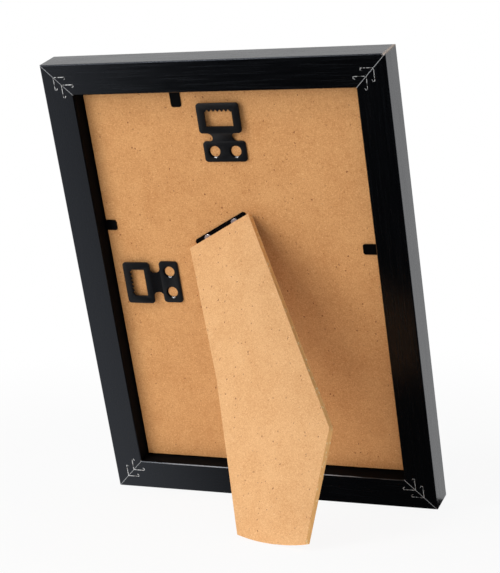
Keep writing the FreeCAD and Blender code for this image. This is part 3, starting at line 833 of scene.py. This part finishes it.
for name in ("hanger_top", "hanger_side"):
    pressed = start_copy(name, name + "_pressed")
    bevel_sharp(ROLL, ROLL_SHARP_DEGREES)
    finish_copy(pressed, name, [hanger_finish, dark_finish, lip])
    faces = [(face, out_of_back.dot(face.center)) for face in pressed.data.polygons]
    outward = [level for face, level in faces if face.normal.dot(out_of_back) > FACES_OUT]
    base_front = min(outward)
    painted_glint_faces = 0
    for face, level in faces:
        in_mouth = MOUTH_DEPTH[0] < base_front - level < MOUTH_DEPTH[1]
        slanted = MOUTH_SLANT[0] < face.normal.dot(out_of_back) < MOUTH_SLANT[1]
        # Mouth faces get the dull black as painted shade, and the ones that face up get the painted
        # highlight.
        if in_mouth and slanted:
            at_bottom = face.normal.dot(up_the_rails) > MOUTH_BOTTOM
            face.material_index = PAINTED_GLINT_SLOT if at_bottom else PAINTED_SHADE_SLOT
            painted_glint_faces += at_bottom
    print("base %.2f mm below the rails' back" % (MILLIMETRES * (back_level - base_front)))
    print("rubbed faces:", painted_glint_faces)

# %% [markdown]
# ## Nail and rivet steel
#
# V-nails are bent strips of bright steel, driven in across each mitre. The strips are only a few tenths
# of a millimetre thick, half hidden by lacquer that has crept over them, so the pale lines come and go.
# The rivet heads of the hinge are the same bright steel, smoother, and covered in fewer places.

# %% Bright nail strips
COVER_FADE = 0.1
COVER = grey(0.03)
STEEL_METALLIC = 0.7


def bright_steel(name, bare, covered_from, roughness):
    """Bright steel of that bare colour, with patches of black lacquer on it from that share on."""
    made, tree, surface = new_material(name)
    own = use_group(tree, own_axes)
    patches = use_group(tree, grain, Point=own["Point"], Scale=0.8)
    covered = ramp(tree, patches["Coarse"], (covered_from, covered_from + COVER_FADE))
    tone = mix_colour(tree, covered, bare, COVER)
    metal = math_node(tree, "SUBTRACT", STEEL_METALLIC, covered, clamp=True)
    fill_inputs(tree, surface, Base_Color=tone, Metallic=metal, Roughness=roughness)
    add_relief(tree, surface, patches["Fine"], strength=0.2, distance=0.0002)
    return made


nail_finish = bright_steel("nail_strip", grey(0.72), covered_from=0.46, roughness=0.40)
rivet_finish = bright_steel(
    "rivet_head", (0.62, 0.58, 0.62, 1.0), covered_from=0.56, roughness=0.25
)
paint([name for name in sorted(nodes) if name.startswith("v_nails")], nail_finish)
paint([name for name in sorted(nodes) if name.endswith("rivets")], rivet_finish)

# %% [markdown]
# ## Glass and print
#
# Behind the front lip lies a plain glass pane, and behind it the picture. The photograph shows neither,
# so the insert is a quiet generic one: a white margin round a soft wash from pale sky to warm ground.

# %% Glass pane
GLASS_TINT = (0.96, 0.985, 0.975, 1.0)
SMUDGE_SPAN, GLASS_ROUGHNESS = (0.4, 0.8), (0.0, 0.05)

glass, glass_tree, glass_surface = new_material("pane_glass")
glass_own = use_group(glass_tree, own_axes)
smudges = use_group(glass_tree, grain, Point=glass_own["Point"], Scale=0.04)
fill_inputs(
    glass_tree,
    glass_surface,
    Base_Color=GLASS_TINT,
    Transmission_Weight=1.0,
    IOR=1.5,
    Roughness=ramp(glass_tree, smudges["Coarse"], SMUDGE_SPAN, GLASS_ROUGHNESS),
)
paint(["glazing"], glass)

# %% Generic print
PRINT_MARGIN = 12.0
MARGIN_EDGE = 0.3
WASH_STRETCH, WASH_SHARE = (0.3, 1.0, 1.0), 0.18
SKY_SPAN = (0.30, 0.95)
MARGIN_WHITE = (0.86, 0.85, 0.82, 1.0)
WARM_GROUND, PALE_SKY = (0.52, 0.47, 0.38, 1.0), (0.58, 0.68, 0.76, 1.0)

paper, paper_tree, paper_surface = new_material("print_paper")
paper_own = use_group(paper_tree, own_axes)
paper_parts, paper_side, paper_end = distance_from_sides(paper_tree, paper_own["Point"])
inward = math_node(paper_tree, "MINIMUM", paper_side, paper_end)
rail_face = MILLIMETRES * (half_width - along("print_sheet", across)[1])
picture_from = rail_face + PRINT_MARGIN
inside = ramp(paper_tree, inward, (picture_from, picture_from + MARGIN_EDGE))
rise = math_node(paper_tree, "DIVIDE", paper_parts.outputs["Z"], MILLIMETRES * height)
wash = use_group(paper_tree, grain, Point=paper_own["Point"], Stretch=WASH_STRETCH, Scale=0.03)
washing = math_node(paper_tree, "MULTIPLY", wash["Coarse"], WASH_SHARE)
sky = ramp(paper_tree, math_node(paper_tree, "ADD", rise, washing), SKY_SPAN)
washed = mix_colour(paper_tree, sky, WARM_GROUND, PALE_SKY)
printed = mix_colour(paper_tree, inside, MARGIN_WHITE, washed)
fill_inputs(paper_tree, paper_surface, Base_Color=printed, Roughness=0.55)
tooth = use_group(paper_tree, grain, Point=paper_own["Point"], Scale=2.0)
add_relief(paper_tree, paper_surface, tooth["Fine"], strength=0.1, distance=0.0001)
print("the picture starts %.1f mm in from the outside" % picture_from)

# %% [markdown]
# The glass and the print lie face to face. Two faces in one place show as bands, because a ray can't tell
# which of them comes first. On the real frame a hair of air lies between them, so the print is a copy
# whose front is set back by that much.

# %% A hair of air between the glass and the print
PAPER_GAP = 0.00004

sheet = start_copy("print_sheet", "print_paper_sheet")
bpy.ops.mesh.select_mode(type="VERT")
bpy.ops.mesh.select_all(action="DESELECT")
bpy.ops.object.mode_set(mode="OBJECT")
picture_side = along("print_sheet", out_of_back)[0]
for vertex in sheet.data.vertices:
    vertex.select = out_of_back.dot(vertex.co) < picture_side + PAPER_GAP
bpy.ops.object.mode_set(mode="EDIT")
bpy.ops.transform.translate(value=out_of_back * PAPER_GAP)
finish_copy(sheet, "print_sheet", [paper])

# %% [markdown]
# ## Studio
#
# The photograph shows the frame on white. The floor is a pale sheet: rays that see it find it white, while
# some of the object's soft shadow stays on it. Rays that carry light find a white sheet that also shines
# a little near the frame, as a reflector would, so it brightens the foot of the panel. The black lacquer
# mirrors the floor, and in the photograph this mirror image is bright only where the floor lies on the
# lamp's side of the frame. So for mirrored rays the rest of the sheet behind the frame is dimmed.

# %% Floor sheet
FLOOR_HALF_SIZE = 4.0


def seen_by(tree):
    """The light path, and a mask of the rays that show a surface: straight, mirrored or through glass."""
    path = add(tree, "ShaderNodeLightPath").outputs
    direct = math_node(tree, "MAXIMUM", path["Is Camera Ray"], path["Is Glossy Ray"])
    return path, math_node(tree, "MAXIMUM", direct, path["Is Transmission Ray"])


bpy.ops.object.select_all(action="DESELECT")
bpy.ops.mesh.primitive_plane_add(size=2.0 * FLOOR_HALF_SIZE, location=(0.0, 0.0, 0.0))
floor = bpy.context.object
floor.name = "studio_floor"
floor_finish, floor_tree, floor_surface = new_material("studio_white")
floor_path, floor_seen = seen_by(floor_tree)
floor_place = add(floor_tree, "ShaderNodeTexCoord").outputs["Object"]
floor_reach = vector_node(floor_tree, "LENGTH", floor_place, output="Value")
floor.data.materials.append(floor_finish)
print("floor", floor.dimensions[:])

# %% What mirrored rays find
FLOOR_WHITE, FLOOR_DIMMED = grey(0.86), grey(0.05)
DIM = 0.01
LAMP_SIDE = (1.0, -0.65, 0.0)
LAMP_EDGE = (0.0, 0.11)
IN_FRONT = -0.06

lamp_side = vector_node(floor_tree, "DOT_PRODUCT", floor_place, LAMP_SIDE, output="Value")
lit_side = ramp(floor_tree, lamp_side, LAMP_EDGE, (DIM, 1.0))
floor_y = add(floor_tree, "ShaderNodeSeparateXYZ", Vector=floor_place).outputs["Y"]
in_front = math_node(floor_tree, "LESS_THAN", floor_y, IN_FRONT)
bright = math_node(floor_tree, "MAXIMUM", lit_side, in_front)
glossy_only = math_node(
    floor_tree, "SUBTRACT", floor_path["Is Glossy Ray"], floor_path["Is Camera Ray"], clamp=True
)
dark_share = math_node(floor_tree, "SUBTRACT", 1.0, bright)
dimming = math_node(floor_tree, "MULTIPLY", glossy_only, dark_share)
sheet_white = mix_colour(floor_tree, dimming, FLOOR_WHITE, FLOOR_DIMMED)
print("the floor's mirror image fades over %.0f mm" % (MILLIMETRES * LAMP_EDGE[1]))

# %% The sheet's own light
SHADOW_REACH, SHADOW_WHITE = (0.15, 0.60), 0.91
BOUNCE_REACH, BOUNCE = (0.08, 0.34), 0.55

unseen = math_node(floor_tree, "SUBTRACT", 1.0, floor_seen)
lit_near = ramp(floor_tree, floor_reach, BOUNCE_REACH, (BOUNCE, 0.0))
fill_inputs(
    floor_tree,
    floor_surface,
    Base_Color=sheet_white,
    Roughness=0.9,
    Emission_Color=grey(1.0),
    Emission_Strength=math_node(floor_tree, "MULTIPLY", unseen, lit_near),
)
shining = math_node(floor_tree, "SUBTRACT", 1.0, dimming)
glow = add(floor_tree, "ShaderNodeEmission", Color=grey(1.0), Strength=shining)
fade = ramp(floor_tree, floor_reach, SHADOW_REACH, (SHADOW_WHITE, 1.0))
glow_share = math_node(floor_tree, "MULTIPLY", floor_seen, fade)
mixed = floor_tree.nodes.new("ShaderNodeMixShader")
layers = (glow_share, floor_surface.outputs["BSDF"], glow.outputs["Emission"])
for socket, layer in zip(mixed.inputs, layers):
    floor_tree.links.new(layer, socket)
floor_end = next(node for node in floor_tree.nodes if node.type == "OUTPUT_MATERIAL")
floor_tree.links.new(mixed.outputs["Shader"], floor_end.inputs["Surface"])
print("floor finish:", len(floor_tree.nodes), "nodes")

# %% [markdown]
# ## World light
#
# The white surroundings are the world. Rays that see it find pure white, apart from mirrored ones that
# look to the back, where the photographer's side of the room is dark. Rays that carry light find a weaker
# white, so that the lamps can shape the object.

# %% World light
WORLD_STRENGTH = 0.42
DARK_ROOM = (-0.1, 0.4)

world = bpy.data.worlds.new("white_studio")
bpy.context.scene.world = world
world.use_nodes = True
air = world.node_tree
air.nodes.clear()
air_path, air_seen = seen_by(air)
looking = add(air, "ShaderNodeTexCoord").outputs["Generated"]
looking_y = add(air, "ShaderNodeSeparateXYZ", Vector=looking).outputs["Y"]
behind_camera = ramp(air, looking_y, DARK_ROOM)
dim_side = math_node(air, "MULTIPLY", behind_camera, air_path["Is Glossy Ray"])
darkened = math_node(air, "MULTIPLY", dim_side, 1.0 - DIM)
white = math_node(air, "SUBTRACT", 1.0, darkened)
air_unseen = math_node(air, "SUBTRACT", 1.0, air_seen)
rest_share = math_node(air, "MULTIPLY", air_unseen, WORLD_STRENGTH)
seen_share = math_node(air, "MULTIPLY", air_seen, white)
air_strength = math_node(air, "ADD", seen_share, rest_share)
background = add(air, "ShaderNodeBackground", Color=grey(1.0), Strength=air_strength)
air_end = air.nodes.new("ShaderNodeOutputWorld")
air.links.new(background.outputs["Background"], air_end.inputs["Surface"])
print("world light", WORLD_STRENGTH)

# %% [markdown]
# ## Lamps
#
# The key lamp is a soft box that stands left of the photographer, low and near, so that its light falls
# off across the panel and the leg throws a soft shadow to the right. A small box high up gives the steel
# its glints.

# %% Lamps
MIDDLE = Vector((0.0, 0.0, 0.10))


def soft_lamp(name, place, size, watts):
    """A square soft box that looks at the middle of the frame."""
    data = bpy.data.lights.new(name, "AREA")
    data.shape = "SQUARE"
    data.size = size
    data.energy = watts
    lamp = bpy.data.objects.new(name, data)
    bpy.context.scene.collection.objects.link(lamp)
    lamp.location = place
    to_middle = MIDDLE - Vector(place)
    lamp.rotation_euler = to_middle.to_track_quat("-Z", "Y").to_euler()
    print(name, "%.2f m from the middle" % to_middle.length)


soft_lamp("key_box", (0.37, 0.555, 0.258), size=0.475, watts=2.45)
soft_lamp("glint_box", (0.56, 0.86, 1.05), size=0.25, watts=3.9)

# %% [markdown]
# ## Finish
#
# The view transform is set to Standard, so that a colour shows as it is written.

# %% Finish
bpy.context.scene.view_settings.view_transform = "Standard"
